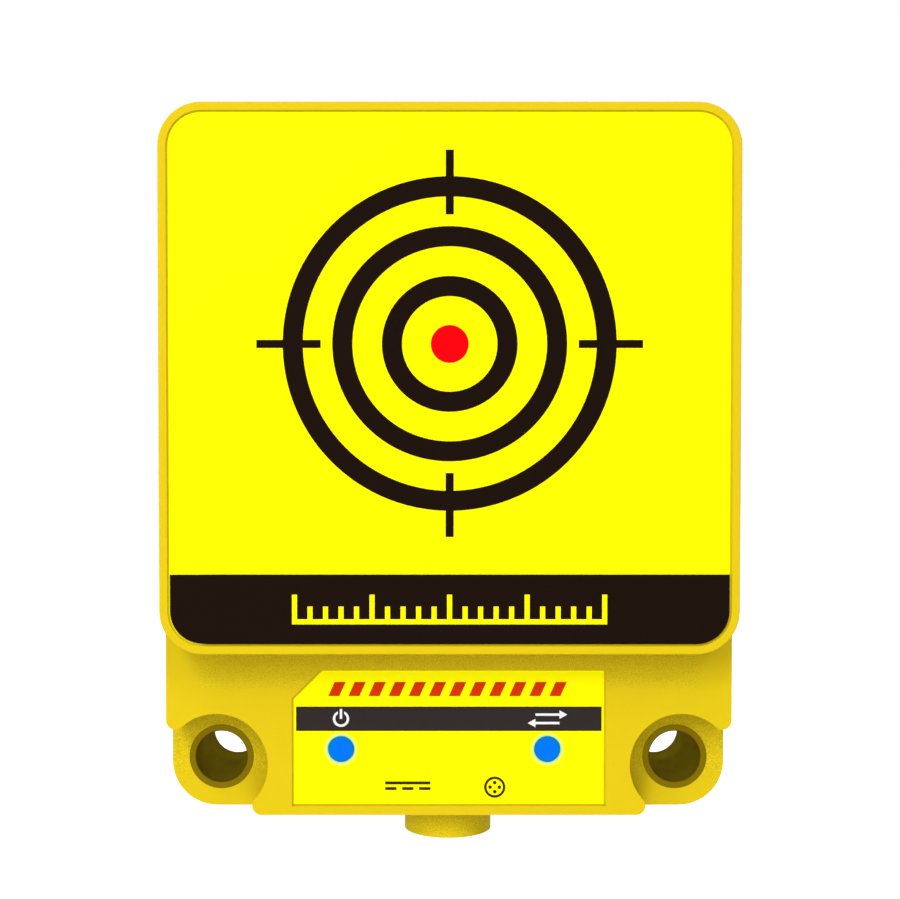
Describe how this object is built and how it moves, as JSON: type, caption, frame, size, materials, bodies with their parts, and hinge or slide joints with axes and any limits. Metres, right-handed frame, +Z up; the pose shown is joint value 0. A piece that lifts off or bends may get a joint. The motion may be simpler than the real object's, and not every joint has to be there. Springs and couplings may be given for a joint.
{
  "type": "radar level transmitter",
  "caption": "Flat block radar level transmitter: square sensing head with a front label, lower section with indicators, bushed fixing lugs and a round plug socket underneath.",
  "frame": {"origin": "on the back face, midway between the two fixing holes", "axes": "X across the front, +Y towards the wall it is fixed to, +Z up towards the head"},
  "size_m": [0.08, 0.03, 0.1034],
  "materials": {
    "housing_plastic": "moulded, fine grain",
    "cover_plastic": "moulded, fine grain",
    "seal_rubber": "matt",
    "screw_steel": "turned",
    "bush_metal": "turned, dull",
    "label_film": "smooth printed film",
    "black_ink": "printed",
    "grey_ink": "printed",
    "yellow_ink": "printed",
    "red_ink": "printed",
    "white_ink": "printed",
    "lamp_window": "smooth, lit",
    "lamp_body": "smooth",
    "circuit_board": "solder mask",
    "chip_plastic": "moulded",
    "can_metal": "drawn",
    "ferrite": "moulded",
    "gold_plate": "plated",
    "spacer_brass": "turned",
    "wire_cover": "extruded"
  },
  "bodies": {
    "root": {"housing": "housing_plastic", "rear_cover": "cover_plastic", "cover_seal": "seal_rubber", "cover_screws": "screw_steel", "left_bush": "bush_metal", "right_bush": "bush_metal", "front_label": "label_film", "front_label_black_print": "black_ink", "front_label_yellow_print": "yellow_ink", "front_label_red_dot": "red_ink", "lower_label": "label_film", "lower_label_dark_print": "grey_ink", "lower_label_red_print": "red_ink", "lower_label_white_print": "white_ink", "left_light_pipe": "lamp_window", "right_light_pipe": "lamp_window", "left_led": "lamp_body", "right_led": "lamp_body", "main_board": "circuit_board", "main_board_screws": "screw_steel", "microcontroller": "chip_plastic", "power_inductor": "ferrite", "capacitors": "can_metal", "voltage_regulator": "chip_plastic", "crystal": "can_metal", "header_socket": "chip_plastic", "header_plug": "gold_plate", "radar_board": "circuit_board", "radar_board_screws": "screw_steel", "board_spacers": "spacer_brass", "spacer_screws": "screw_steel", "patch_antennas": "gold_plate", "radar_chip": "chip_plastic", "contact_carrier": "chip_plastic", "contact_pins": "gold_plate", "carrier_seal": "seal_rubber", "lead_wires": "wire_cover"}
  },
  "joints": []
}
